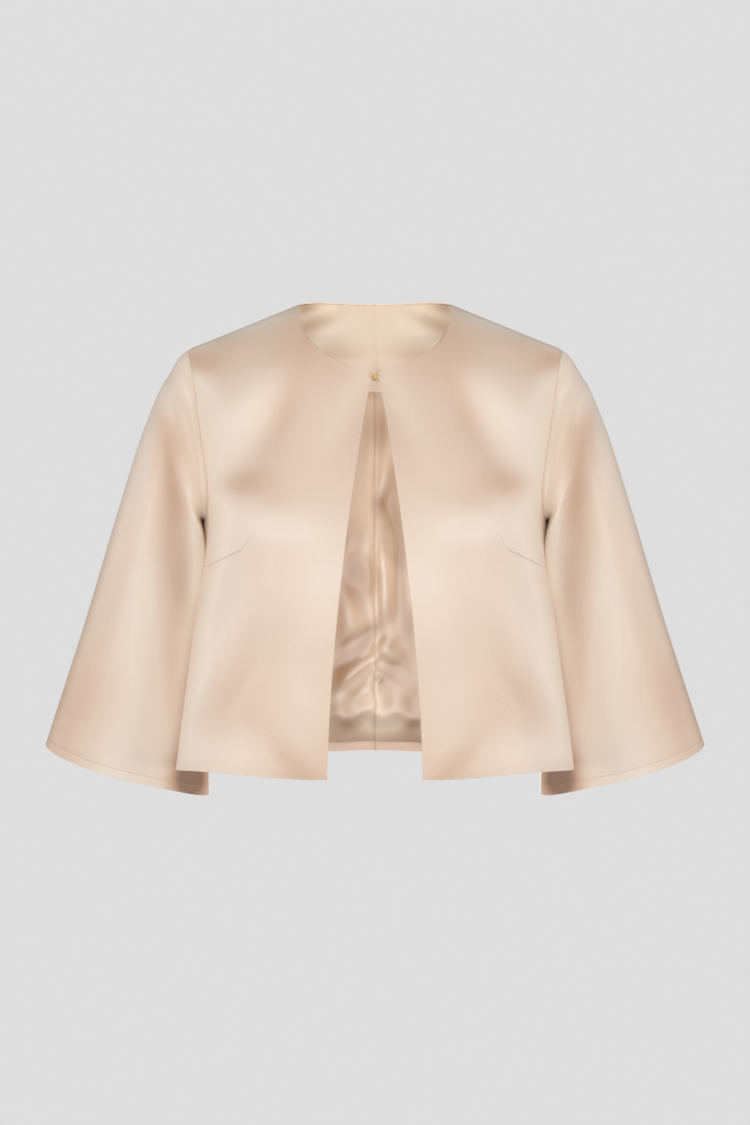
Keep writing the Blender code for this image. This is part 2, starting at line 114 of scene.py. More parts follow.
# The level rings of the body, as in the solids
BODY_RINGS = np.array([
    # height, half_width, front_depth, back_depth, front_fullness, back_fullness
    (-0.488, 0.2085, 0.1240, 0.1160, 0.20, 0.00),
    (-0.437, 0.2020, 0.1225, 0.1110, 0.22, 0.00),
    (-0.380, 0.1945, 0.1205, 0.1070, 0.25, 0.02),
    (-0.330, 0.1880, 0.1185, 0.1050, 0.28, 0.08),
    (-0.278, 0.1800, 0.1160, 0.1060, 0.30, 0.20),
    (-0.233, 0.1795, 0.1100, 0.1080, 0.32, 0.35),
    (-0.187, 0.1865, 0.1010, 0.1100, 0.35, 0.40),
    (-0.136, 0.1940, 0.0890, 0.1080, 0.35, 0.40),
    (-0.080, 0.2030, 0.0765, 0.1020, 0.35, 0.36),
    (-0.020, 0.2160, 0.0720, 0.0960, 0.30, 0.30),
    (0.060, 0.2360, 0.0680, 0.0920, 0.25, 0.25),
])
HEIGHT, HALF_WIDTH, FRONT_DEPTH, BACK_DEPTH, FRONT_FULL, BACK_FULL = range(6)

SLEEVE_RINGS = [
    # outer_x, outer_y, outer_z, inner_x, inner_y, inner_z, half_depth, front_drop
    (0.2190, 0.0000, -0.0810, 0.1800, 0.0000, -0.2270, 0.0580, 0.0000),
    (0.2440, 0.0000, -0.1370, 0.1780, 0.0040, -0.2440, 0.0600, 0.0000),
    (0.2715, 0.0080, -0.2200, 0.1775, 0.0240, -0.2760, 0.0590, 0.0030),
    (0.3105, 0.0300, -0.3413, 0.1870, 0.0640, -0.3800, 0.0560, 0.0090),
    (0.3552, 0.0520, -0.4700, 0.1882, 0.1000, -0.5140, 0.0620, 0.0135),
]
INNER_SQUARE = 5.0  # how square a ring is on its inner half, from 2 for an ellipse

# How the armhole bends between the shoulder tip and the underarm
ARMHOLE_BENDS = {
    # facing: upper_angle, upper_drop, lower_angle, lower_rise
    -1: (78, 0.130, 50, 0.0005),
    1: (66, 0.080, 56, 0.012),
}

# How finely the cloth is divided
COLUMNS = 84
SIDE_ROWS = 76
ARMHOLE_ROWS = 72
SHOULDER_ROWS = 40
FACING_ROWS = 26
SLEEVE_ROWS = (14, 16, 24, 36, 44)
EDGE_SPREAD = 0.6  # how much closer together the columns lie at a panel's edges, from 0 to 1
SIDE_SPREAD = 1.4  # powers that bring the rows together at the hem, the underarm and the neck
ARMHOLE_SPREAD = 1.25
FACING_SPREAD = 1.7

# Soft swells and hollows in the cloth, on a map of the panel: across from the middle, and unrolled height.
# reach is the distance at which a form fades, tilt turns it in degrees, and rise is how far it stands out.
FRONT_SWELLS = [
    # across, height, reach_across, reach_up, tilt, rise
    (0.098, -0.132, 0.018, 0.062, 38, -0.0040),
    (0.128, -0.100, 0.018, 0.045, 38, 0.0020),
    (0.120, -0.198, 0.020, 0.040, 45, 0.0015),
    (0.135, -0.372, 0.017, 0.040, 22, -0.0030),
    (0.140, -0.415, 0.017, 0.034, 22, 0.0030),
    (0.085, -0.395, 0.022, 0.055, 15, -0.0015),
    (0.094, -0.452, 0.012, 0.014, 0, -0.0020),
    (0.090, -0.474, 0.014, 0.012, 0, 0.0020),
    (0.160, -0.150, 0.012, 0.050, -8, -0.0015),
]
BACK_SWELLS = [
    # across, height, reach_across, reach_up, tilt, rise
    (0.110, -0.130, 0.026, 0.060, -38, -0.0040),
    (0.060, -0.240, 0.030, 0.040, 20, 0.0025),
    (0.125, -0.300, 0.024, 0.070, 8, -0.0030),
    (0.070, -0.370, 0.022, 0.060, -12, 0.0030),
    (0.145, -0.420, 0.018, 0.040, 15, -0.0025),
    (0.035, -0.430, 0.018, 0.035, 10, -0.0020),
]
# Creases, each a soft trough or ridge along a line
FRONT_CREASES = [
    # across_1, height_1, across_2, height_2, half_width, rise
    (0.172, -0.280, 0.134, -0.262, 0.0045, -0.0007),
    (0.136, -0.262, 0.122, -0.240, 0.0040, -0.0006),
    (0.156, -0.284, 0.150, -0.350, 0.0040, -0.0006),
    (0.130, -0.262, 0.118, -0.282, 0.0070, -0.0010),
    (0.168, -0.170, 0.158, -0.235, 0.0060, -0.0008),
]
BACK_CREASES = [
    # across_1, height_1, across_2, height_2, half_width, rise
    (0.168, -0.150, 0.120, -0.235, 0.0070, -0.0014),
    (0.160, -0.255, 0.105, -0.300, 0.0080, -0.0012),
    (0.070, -0.290, 0.085, -0.440, 0.0100, 0.0012),
    (0.010, -0.120, 0.060, -0.160, 0.0080, -0.0008),
]
# The same on the sleeve: degrees round from its outer edge by the front, and percent of its length up
SLEEVE_SWELLS = [
    # degrees, percent, reach_round, reach_up, tilt, rise
    (70, 55, 22, 40, 6, 0.0025),
    (40, 35, 14, 30, 0, -0.0015),
    (235, 50, 22, 40, 0, -0.0040),
    (270, 55, 20, 45, 0, 0.0030),
    (315, 30, 18, 30, 0, -0.0025),
]
SLEEVE_CREASES = [
    # degrees_1, percent_1, degrees_2, percent_2, half_width, rise
    (74, 88, 126, 8, 14, -0.0022),
]
# The loose lining, on one wide map of both halves. rise is how far it stands in from the back.
LINING_SWELLS = [
    # across, height, reach_across, reach_up, tilt, rise
    (0.004, -0.124, 0.010, 0.030, 0, -0.0020),
    (0.010, -0.178, 0.010, 0.024, -10, 0.0035),
    (0.020, -0.212, 0.010, 0.026, 20, -0.0030),
    (0.010, -0.285, 0.010, 0.036, 5, 0.0040),
    (0.032, -0.290, 0.012, 0.040, 0, -0.0020),
    (-0.024, -0.250, 0.020, 0.022, 0, 0.0030),
    (-0.024, -0.285, 0.018, 0.020, 10, -0.0035),
    (-0.026, -0.330, 0.018, 0.026, 20, 0.0040),
    (-0.022, -0.368, 0.036, 0.011, 32, -0.0050),
    (-0.020, -0.392, 0.034, 0.010, 40, 0.0045),
    (0.016, -0.372, 0.018, 0.010, -35, 0.0030),
    (0.015, -0.388, 0.018, 0.009, -35, -0.0035),
    (0.030, -0.420, 0.020, 0.020, 15, 0.0030),
    (-0.012, -0.414, 0.014, 0.006, 30, -0.0020),
    (0.075, -0.200, 0.020, 0.060, 8, 0.0040),
    (-0.080, -0.210, 0.020, 0.060, -12, 0.0040),
    (0.085, -0.350, 0.022, 0.070, 10, 0.0045),
    (-0.090, -0.360, 0.022, 0.060, -8, 0.0045),
    (0.125, -0.300, 0.018, 0.080, -5, 0.0035),
    (-0.130, -0.290, 0.018, 0.080, 8, 0.0035),
]
# The slack fold in which the lining hangs over the hem: its height above the hem waves along the back
PLEAT_RISE = 0.0300
PLEAT_WAVES = [
    # height, shift, length
    (0.003, 0.010, 0.036),
    (0.002, 0.000, 0.090),
]
PLEAT_DEPTH = 0.0065
PLEAT_BELOW = 0.0100  # how far the fold reaches below and above its crest
PLEAT_ABOVE = 0.0160
PLEAT_CLEAR = 0.0450  # the other folds fade out this far above the hem
WAVE_DEPTH = 0.0008  # shallow waves all over the lining
WAVE_LENGTH = 0.0450
WAVE_SHIFT = 0.0100
# Puckers where the lining's middle seam was drawn up
LINING_PUCKERS = [
    # across_1, height_1, across_2, height_2, half_width, rise
    (0.000, -0.362, 0.012, -0.354, 0.0030, -0.0012),
    (0.000, -0.372, -0.013, -0.378, 0.0030, -0.0014),
    (0.000, -0.385, 0.012, -0.380, 0.0028, -0.0012),
    (0.000, -0.396, -0.012, -0.402, 0.0026, -0.0014),
    (0.000, -0.405, 0.009, -0.400, 0.0026, -0.0012),
    (0.000, -0.418, -0.010, -0.422, 0.0028, -0.0010),
]
# Painted highlights and painted shade, on the same maps: the cloth's colour is lightened where its sheen
# looks fuller, and darkened where it looks duller or where shade falls. tone is 1 at the brightest, -1 at the
# dullest and -2 in painted deep shadow, and where patches meet, their tones add up.
FRONT_PAINTED_SHADING = [
    # across, height, reach_across, reach_up, tilt, tone
    (0.125, 0.005, 0.052, 0.027, -12, 1.10),
    (0.184, -0.052, 0.031, 0.016, 57, -1.10),
    (0.077, -0.062, 0.052, 0.028, -31, -0.69),
    (0.182, -0.083, 0.020, 0.089, -7, 1.02),
    (0.116, -0.106, 0.070, 0.048, -53, 1.05),
    (0.025, -0.108, 0.015, 0.071, 28, 0.42),
    (0.092, -0.120, 0.014, 0.043, 27, -0.68),
    (0.135, -0.193, 0.014, 0.026, 89, -0.74),
    (0.175, -0.234, 0.052, 0.089, -12, 1.10),
    (0.095, -0.237, 0.018, 0.035, -85, 0.80),
    (0.046, -0.280, 0.055, 0.087, 8, 0.86),
    (0.183, -0.347, 0.015, 0.079, 11, 1.06),
    (0.174, -0.387, 0.017, 0.090, 26, 0.77),
    (0.072, -0.411, 0.035, 0.053, -12, 0.43),
    (0.185, -0.463, 0.031, 0.090, -90, 0.87),
    (0.066, -0.488, 0.012, 0.056, -40, -0.60),
]
BACK_PAINTED_SHADING = [
    # across, height, reach_across, reach_up, tilt, tone
    (0.060, -0.070, 0.060, 0.090, 18, 0.95),
    (0.125, -0.020, 0.075, 0.035, 20, 0.60),
    (0.135, -0.130, 0.030, 0.070, 8, 0.60),
    (0.045, -0.260, 0.050, 0.100, -14, 0.80),
    (0.130, -0.360, 0.045, 0.110, -10, 0.90),
    (0.000, -0.410, 0.050, 0.060, 0, 0.70),
    (0.095, -0.215, 0.022, 0.060, 30, -0.35),
    (0.075, -0.400, 0.018, 0.080, -12, -0.30),
]
SLEEVE_PAINTED_SHADING = [
    # degrees, percent, reach_round, reach_up, tilt, tone
    (147, 99, 17, 12, -87, 1.01),
    (94, 94, 6, 55, -90, 1.10),
    (22, 89, 53, 63, 90, 0.80),
    (125, 80, 7, 19, -73, 0.86),
    (89, 75, 30, 15, -11, -2.00),
    (107, 69, 60, 9, -6, 0.83),
    (123, 59, 56, 7, 79, 0.73),
    (50, 17, 11, 75, -83, -0.34),
    (101, 16, 27, 14, -53, 1.10),
    (125, 4, 13, 8, 4, -3.40),
    (280, 55, 42, 60, 0, 0.75),
    (147, 1, 60, 6, 17, 1.10),
    (74, 1, 24, 80, -5, 1.03),
]
LINING_PAINTED_SHADING = [
    # across, height, reach_across, reach_up, tilt, tone
    (-0.004, -0.085, 0.006, 0.012, 60, -0.88),
    (0.001, -0.126, 0.013, 0.026, -2, -1.20),
    (0.024, -0.140, 0.014, 0.090, -24, 0.85),
    (-0.002, -0.172, 0.006, 0.081, -1, 1.10),
    (0.003, -0.206, 0.016, 0.008, -90, -1.77),
    (0.021, -0.251, 0.008, 0.020, 1, 1.10),
    (0.011, -0.275, 0.009, 0.022, 45, 0.82),
    (0.030, -0.296, 0.008, 0.090, 6, -1.89),
    (-0.011, -0.298, 0.017, 0.046, 22, -1.56),
    (0.021, -0.304, 0.060, 0.028, 29, 1.10),
    (0.000, -0.330, 0.004, 0.090, 0, 1.10),
    (-0.007, -0.354, 0.010, 0.038, -32, -1.89),
    (-0.035, -0.357, 0.010, 0.090, -4, -1.13),
    (0.010, -0.394, 0.016, 0.017, -90, -1.56),
    (-0.016, -0.401, 0.006, 0.052, -53, 1.10),
    (0.002, -0.411, 0.015, 0.082, 5, 0.84),
    (-0.029, -0.449, 0.008, 0.010, -62, -1.41),
    (0.042, -0.450, 0.008, 0.011, -43, -1.68),
    (0.017, -0.453, 0.060, 0.011, -2, 1.10),
    (0.033, -0.469, 0.013, 0.090, 90, -0.99),
]
FACING_PAINTED_SHADING = [
    # across, height, reach_across, reach_up, tilt, tone
    (0.011, 0.005, 0.011, 0.004, -4, -0.14),
    (0.072, 0.001, 0.005, 0.008, -90, -0.47),
    (0.077, -0.003, 0.020, 0.004, -13, -1.92),
    (0.077, -0.004, 0.039, 0.009, 3, 1.10),
    (0.067, -0.013, 0.027, 0.008, -19, -1.23),
    (0.077, -0.037, 0.041, 0.009, -23, 0.87),
    (0.034, -0.053, 0.070, 0.020, 12, -1.04),
]
# The facing's folds, which spread from the shoulder
FACING_CREASES = [
    # across_1, height_1, across_2, height_2, half_width, rise
    (0.078, -0.0045, 0.042, 0.0030, 0.0060, 0.0022),
    (0.080, -0.0210, 0.042, -0.0200, 0.0070, 0.0025),
    (0.060, -0.0560, 0.010, -0.0640, 0.0090, 0.0014),
]
# The wires' ends, which show as a small cross over the front edges
CROSS_DROP = 0.0050  # from the front neck down to the cross
CROSS_STAND = 0.0006  # how far it stands out from the cloth
CROSS = {
    "eye_legs": [
        # x_1, up_1, x_2, up_2, radius
        (0.0006, 0.0003, 0.0046, 0.0052, 0.00050),
        (0.0006, -0.0003, 0.0042, -0.0050, 0.00055),
        (0.0002, 0.0000, 0.0050, 0.0006, 0.00040),
    ],
    "hook_legs": [
        # x_1, up_1, x_2, up_2, radius
        (-0.0006, 0.0003, -0.0048, 0.0036, 0.00050),
        (-0.0006, -0.0003, -0.0034, -0.0044, 0.00050),
        (-0.0004, 0.0000, -0.0052, -0.0004, 0.00040),
    ],
}


def ring_column(column, at):
    """A column of BODY_RINGS at any heights, on a smooth curve through its rows."""
    heights, values = BODY_RINGS[:, HEIGHT], BODY_RINGS[:, column]
    at = np.clip(at, heights[0], heights[-1])
    low = np.clip(np.searchsorted(heights, at, side="right") - 1, 0, len(heights) - 2)
    before = np.maximum(np.arange(len(heights)) - 1, 0)
    after = np.minimum(np.arange(len(heights)) + 1, len(heights) - 1)
    slopes = (values[after] - values[before]) / (heights[after] - heights[before])
    span = heights[low + 1] - heights[low]
    t = (at - heights[low]) / span
    return (
        values[low] * (2 * t**3 - 3 * t**2 + 1)
        + slopes[low] * span * (t**3 - 2 * t**2 + t)
        + values[low + 1] * (3 * t**2 - 2 * t**3)
        + slopes[low + 1] * span * (t**3 - t**2)
    )


def lerp(a, b, t):
    return a + (b - a) * t


def shoulder_height(x):
    slope = (TIP_DROP - NECK_SAG) / (TIP_HALF - NECK_HALF)
    over = slope * (NECK_HALF - np.abs(x))
    return np.where(np.abs(x) > NECK_HALF, over, slope * (NECK_HALF**2 - x**2) / (2 * NECK_HALF)) - NECK_SAG


class Skin:
    """One side of the body: where a ring angle and an unrolled height lie in space."""

    def __init__(self, facing, roll, start, depth, fullness):
        self.facing, self.roll, self.start = facing, roll, start
        self.depth, self.fullness = depth, fullness
        self.rolled = roll * (pi / 2 - start)

    def seam(self, x):
        return shoulder_height(x) - self.roll * cos(self.start) + self.rolled

    def unrolled(self, x, z):
        drop = shoulder_height(x) - z
        bend = np.arccos(np.clip(cos(self.start) - drop / self.roll, -1, 1))
        rolled = self.seam(x) - self.roll * (bend - self.start)
        return np.where(drop >= self.roll * cos(self.start), z, rolled)

    def angle(self, x, height):
        return np.arcsin(np.minimum(1.0, x / ring_column(HALF_WIDTH, height)))

    def points(self, angle, height):
        x = ring_column(HALF_WIDTH, height) * np.sin(angle)
        bend = self.start + (self.seam(x) - height) / self.roll
        over = bend < pi / 2
        share = np.where(over, (np.sin(bend) - sin(self.start)) / (1 - sin(self.start)), 1.0)
        z = np.where(over, shoulder_height(x) - self.roll * (cos(self.start) - np.cos(bend)), height)
        squared = 1 + ring_column(self.fullness, height) * np.sin(angle) ** 2
        depth = ring_column(self.depth, height) * np.cos(angle) * squared
        if self.facing < 0:
            depth = depth + bust(x, height) * np.maximum(np.cos(angle), 0) ** 0.5
        return np.stack([x, lerp(-SEAM_FORWARD, self.facing * depth, share), z], axis=-1)


def bust(x, height):
    tall = np.where(height > BUST_Z, BUST_ABOVE, BUST_BELOW)
    across = ((np.abs(x) - BUST_X) / BUST_WIDE) ** 2
    return BUST_RISE * 2.718 ** -(across + ((height - BUST_Z) / tall) ** 2)


FRONT = Skin(-1, 0.100, radians(14), FRONT_DEPTH, FRONT_FULL)
BACK = Skin(1, 0.065, radians(-14), BACK_DEPTH, BACK_FULL)


def cubic(controls, t):
    """Points of the cubic curve that four control points give."""
    weights = [(1 - t) ** 3, 3 * t * (1 - t) ** 2, 3 * t**2 * (1 - t), t**3]
    return [sum(w * c[axis] for w, c in zip(weights, controls)) for axis in (0, 1)]


def armhole(skin, share):
    """Skin coordinates on the armhole, from the shoulder tip at 0 to the underarm at 1."""
    top = float(skin.seam(TIP_HALF))
    upper_angle, upper_drop, lower_angle, lower_rise = ARMHOLE_BENDS[skin.facing]
    controls = [
        (float(skin.angle(TIP_HALF, top)), top),
        (radians(upper_angle), top - upper_drop),
        (radians(lower_angle), UNDERARM + lower_rise),
        (pi / 2, UNDERARM),
    ]
    return cubic(controls, 1 - (1 - share) ** ARMHOLE_SPREAD)


def facing_shares():
    """Shares of the way up the facing, closer together at the neck's edge."""
    return 1 - (1 - np.arange(1, FACING_ROWS + 1) / FACING_ROWS) ** FACING_SPREAD


def side_shares():
    """Shares of the way up the side seam, closer together at the hem."""
    return (np.arange(SIDE_ROWS) / SIDE_ROWS) ** SIDE_SPREAD


def side_edge(skin):
    """The panel's outer edge from the hem up: angles and heights by the side seam, armhole and shoulder."""
    rise = side_shares()
    side = [np.full(SIDE_ROWS, pi / 2), lerp(HEM_SIDE, UNDERARM, rise)]
    curve = armhole(skin, np.arange(ARMHOLE_ROWS, -1, -1) / ARMHOLE_ROWS)
    outside = SHOULDER_ROWS - FACING_ROWS
    x = np.concatenate([
        lerp(TIP_HALF, FACING_HALF, np.arange(1, outside + 1) / outside),
        lerp(FACING_HALF, NECK_HALF, facing_shares()),
    ])
    height = skin.seam(x)
    return [np.concatenate(parts) for parts in zip(side, curve, [skin.angle(x, height), height])]


def front_gap(height):
    down = np.clip((-FRONT_NECK_DROP - height) / (-FRONT_NECK_DROP - HEM_FRONT), 0, 1)
    drop = np.maximum(-FRONT_NECK_DROP - height, 0)
    return lerp(GAP_TOP, GAP_HEM, 1 - (1 - down) ** GAP_CURVE) - GAP_PINCH * np.exp(-drop / PINCH_REACH)


def middle_edge(skin, hem, top, rows_above, gap):
    """The panel's inner edge from the hem up to the top."""
    below = lerp(hem, UNDERARM, side_shares())
    above = lerp(UNDERARM, top, np.arange(rows_above + 1) / rows_above)
    height = np.concatenate([below, above])
    return [skin.angle(gap(height), height), height]


def front_neckline(t):
    controls = [
        (GAP_TOP - GAP_PINCH, -FRONT_NECK_DROP),
        (0.0350, -0.0720),
        (NECK_HALF, -0.0620),
        (NECK_HALF, -NECK_SAG),
    ]
    x, z = cubic(controls, t)
    height = FRONT.unrolled(x, z)
    return FRONT.angle(x, height), height


def back_curve(half, middle):
    def along(t):
        x = half * np.sin(t * pi / 2)
        height = lerp(BACK.seam(half), middle, np.cos(t * pi / 2))
        return BACK.angle(x, height), height

    return along


def spread(columns):
    """Shares across a panel, closer together at both edges."""
    even = np.arange(columns + 1) / columns
    return lerp(even, (1 - np.cos(pi * even)) / 2, EDGE_SPREAD)


def panel_grid(start, end, top, bend_rows):
    """Angles and heights of a panel's points, in rows from the inner edge to the outer one."""
    u = spread(COLUMNS)
    rows = len(start[0])
    near = np.maximum(0.0, (np.arange(rows) - rows + 1 + bend_rows) / bend_rows)[:, None] ** 2
    curve = top(u)
    grid = []
    for axis in (0, 1):
        bend = curve[axis] - lerp(curve[axis][0], curve[axis][-1], u)
        grid.append(lerp(start[axis][:, None], end[axis][:, None], u) + near * bend)
    return grid


def front_grid():
    rows = ARMHOLE_ROWS + SHOULDER_ROWS
    start = middle_edge(FRONT, HEM_FRONT, -FRONT_NECK_DROP, rows, front_gap)
    angles, heights = panel_grid(start, side_edge(FRONT), front_neckline, rows)
    near = np.clip((UNDERARM - heights) / (UNDERARM - HEM_FRONT), 0, 1)
    return angles, heights + near * HEM_LIFT * np.sin(pi * spread(COLUMNS)) ** 2


def back_grid():
    """The back's rows. The last FACING_ROWS lie between the facing's lower edge and the neck."""
    rows = ARMHOLE_ROWS + SHOULDER_ROWS - FACING_ROWS
    start = middle_edge(BACK, HEM_BACK, FACING_BOTTOM, rows, lambda height: 0 * height)
    end = side_edge(BACK)
    u = spread(COLUMNS)
    lower = back_curve(FACING_HALF, FACING_BOTTOM)(u)
    upper = back_curve(NECK_HALF, float(BACK.unrolled(0.0, BACK_NECK_RISE)))(u)
    grid = panel_grid(start, [edge[:-FACING_ROWS] for edge in end], lambda t: lower, rows)
    share = facing_shares()[:, None]
    above = []
    for axis in (0, 1):
        shift = end[axis][-FACING_ROWS:, None] - lerp(lower[axis][-1], upper[axis][-1], share)
        above.append(lerp(lower[axis], upper[axis], share) + u * shift)
    return [np.concatenate(parts) for parts in zip(grid, above)]


def swell(table, across, up):
    """How far soft swells and hollows lift each point; the same sum of soft patches also gives the painted
    shading tones.
    """
    rise = np.zeros_like(across)
    for x, height, reach_across, reach_up, tilt, lift in table:
        turn = radians(tilt)
        dx, dy = across - x, up - height
        along = (dx * cos(turn) + dy * sin(turn)) / reach_across
        beside = (-dx * sin(turn) + dy * cos(turn)) / reach_up
        rise += lift * np.exp(-(along**2) - beside**2)
    return rise


def crease(table, across, up):
    """How far soft troughs and ridges along lines lift each point. Each fades towards its ends."""
    rise = np.zeros_like(across)
    for x_1, y_1, x_2, y_2, half_width, lift in table:
        dx, dy = x_2 - x_1, y_2 - y_1
        length = (dx**2 + dy**2) ** 0.5
        along = ((across - x_1) * dx + (up - y_1) * dy) / length**2
        beside = ((across - x_1) * dy - (up - y_1) * dx) / length
        fade = np.exp(-((np.maximum(np.abs(along - 0.5) - 0.25, 0) / 0.25) ** 2))
        rise += lift * fade * np.exp(-((beside / half_width) ** 2))
    return rise


def grid_normals(points, closed=False):
    """Unit directions of a grid of points, across its rows and columns."""
    if closed:
        over = np.roll(points, -1, axis=1) - np.roll(points, 1, axis=1)
    else:
        over = np.gradient(points, axis=1)
    up = np.gradient(points, axis=0)
    normal = np.cross(over, up)
    return normal / np.maximum(np.linalg.norm(normal, axis=-1, keepdims=True), 1e-12)


def bell(distance, reach):
    """1 at a line, fading to 0 beyond its reach."""
    return np.exp(-((distance / reach) ** 2))


def distance_to_edge(points):
    """Distance of each point of a grid from its row's last point."""
    return np.linalg.norm(points - points[:, -1:], axis=-1)


def with_first(grid):
    """A ring's grid with its first column again at the end."""
    return np.concatenate([grid, grid[:, :1]], axis=1)


def cloth_lengths(points):
    """How far each point lies across and along the cloth, for the weave."""
    across = np.linalg.norm(np.diff(points, axis=1), axis=-1)
    along = np.linalg.norm(np.diff(points, axis=0), axis=-1)
    across = np.concatenate([np.zeros_like(across[:, :1]), np.cumsum(across, axis=1)], axis=1)
    return across, np.concatenate([np.zeros_like(along[:1]), np.cumsum(along, axis=0)])


def shell_corners(over, below, closed):
    """What lies at the corners of a shell's faces, from the grids of its two sides."""

    def quads(grid):
        return np.stack([grid[:-1, :-1], grid[:-1, 1:], grid[1:, 1:], grid[1:, :-1]], axis=-1).reshape(-1, 4)

    def rim(a, b):
        return np.stack([a[:-1], b[:-1], b[1:], a[1:]], axis=-1)

    corners = [quads(over), quads(below)[:, ::-1], rim(over[0], below[0]), rim(over[-1], below[-1])[:, ::-1]]
    if not closed:
        corners += [rim(over[:, 0], below[:, 0])[:, ::-1], rim(over[:, -1], below[:, -1])]
    return np.concatenate(corners)


def new_piece(name, points, faces, corner_lengths=None):
    """A smooth mesh in the scene. corner_lengths gives each face corner's place on the cloth."""
    data = bpy.data.meshes.new(name)
    data.from_pydata([tuple(point) for point in points], [], [tuple(face) for face in faces])
    if corner_lengths is not None:
        data.uv_layers.new(name="cloth").data.foreach_set("uv", corner_lengths.ravel())
    data.validate()
    data.shade_smooth()
    piece = bpy.data.objects.new(name, data)
    bpy.context.scene.collection.objects.link(piece)
    return piece


def build_shell(name, outer, inner, closed=False, seam=None, sheen=None, rim=RIM):
    """A closed shell between two grids of the same rows and columns, with its rims rounded.

    seam is each outer point's distance from the piece's seams, sheen its tone of painted highlight or painted
    shade, and rim the rounding's width.
    """
    rows, columns = outer.shape[:2]
    index = np.arange(rows * columns).reshape(rows, columns)
    under = index + rows * columns
    if closed:
        index, under = with_first(index), with_first(under)
    faces = shell_corners(index, under, closed)
    lengths = cloth_lengths(with_first(outer) if closed else outer)
    corners = np.stack([shell_corners(length, length, closed) for length in lengths], axis=-1)
    points = np.concatenate([outer.reshape(-1, 3), inner.reshape(-1, 3)])
    a, b, c, d = (points[faces[:, i]] for i in range(4))
    if np.sum(np.cross(c - a, d - b) * (a + b + c + d)) < 0:
        faces, corners = faces[:, ::-1], corners[:, ::-1]
    piece = new_piece(name, points, faces, corners)
    marks = {}
    if seam is not None:
        marks["seam"] = bell(seam, SEAM_LINE)
    # The tone of painted highlights and painted shade, on both sides of the cloth
    if sheen is not None:
        marks["sheen"] = np.clip(sheen, -2, 1)
    for mark, values in marks.items():
        layer = piece.data.attributes.new(mark, "FLOAT", "POINT")
        layer.data.foreach_set("value", np.tile(values.ravel(), 2))
    bevel = piece.modifiers.new("rounded rim", "BEVEL")
    bevel.width = rim
    bevel.segments = 2
    bevel.limit_method = "ANGLE"
    bevel.angle_limit = radians(50)
    bevel.harden_normals = True
    return piece


def mirrored(points, side):
    return points * np.array([side, 1.0, 1.0])


def body_panel(skin, grid, swells, creases, middle_seam):
    """A body panel's outer points with its folds and its seams' grooves."""
    points = skin.points(*grid)
    normal = grid_normals(points) * -skin.facing
    lift = swell(swells, points[..., 0], grid[1]) + crease(creases, points[..., 0], grid[1])
    from_seam = distance_to_edge(points)
    lift *= 1 - bell(from_seam, FOLD_FADE)
    lift -= SIDE_GROOVE * bell(from_seam, SEAM_GROOVE)
    if middle_seam:
        from_middle = np.linalg.norm(points - points[:, :1], axis=-1)
        lift -= MIDDLE_GROOVE * bell(from_middle, SEAM_GROOVE)
    points = points + normal * lift[..., None]
    return points, grid_normals(points) * -skin.facing


def to_shoulder_line(points):
    """Distance of a front's points from the line that runs beside its shoulder seam."""
    below_seam = np.linalg.norm(points - points[-1:], axis=-1)
    return np.where(points[-1:, :, 0] > NECK_HALF, np.abs(below_seam - SHOULDER_LINE), 1.0)


def above_hem(points):
    """Distance of each point along its column from the hem."""
    step = np.linalg.norm(np.diff(points, axis=0), axis=-1)
    return np.concatenate([np.zeros_like(step[:1]), np.cumsum(step, axis=0)])


def wall_with_hem(above, turn_up):
    """The wall's thickness: the turned-up hem is thicker, with a soft step at its top."""
    return lerp(WALL, HEM_WALL, 1 / (1 + np.exp((above - turn_up) / HEM_STEP)))


def ring_point(row, turn):
    """A point of a sleeve's ring, at an angle from its outer end by the front. The inner half is squarer."""
    outer, inner = np.array(row[0:3]), np.array(row[3:6])
    half_depth, front_drop = row[6:8]
    reach = (outer - inner) / 2
    ahead = np.array([-reach[1], reach[0], 0.0])
    ahead = ahead / np.linalg.norm(ahead) * -half_depth
    ahead[2] = -front_drop
    square = INNER_SQUARE if pi / 2 < turn < 3 * pi / 2 else 2.0
    swell_out = (abs(cos(turn)) ** square + abs(sin(turn)) ** square) ** (-1 / square)
    return (outer + inner) / 2 + (reach * cos(turn) + ahead * sin(turn)) * swell_out


def unit(v):
    return v / np.linalg.norm(v)


def through_knots(knots, tangent, rows):
    """Points on a smooth curve, with rows of them after each knot. tangent is its way out of the first."""
    slopes = [tangent * np.linalg.norm(knots[1] - knots[0])]
    for i in range(1, len(knots) - 1):
        before, after = knots[i] - knots[i - 1], knots[i + 1] - knots[i]
        length = min(np.linalg.norm(before), np.linalg.norm(after))
        slopes.append(unit(unit(before) + unit(after)) * length)
    slopes.append(knots[-1] - knots[-2])
    points = [knots[0]]
    for i in range(len(knots) - 1):
        for step in range(1, rows[i] + 1):
            t = step / rows[i]
            points.append(
                knots[i] * (2 * t**3 - 3 * t**2 + 1)
                + slopes[i] * (t**3 - 2 * t**2 + t)
                + knots[i + 1] * (3 * t**2 - 2 * t**3)
                + slopes[i + 1] * (t**3 - t**2)
            )
    return np.array(points)


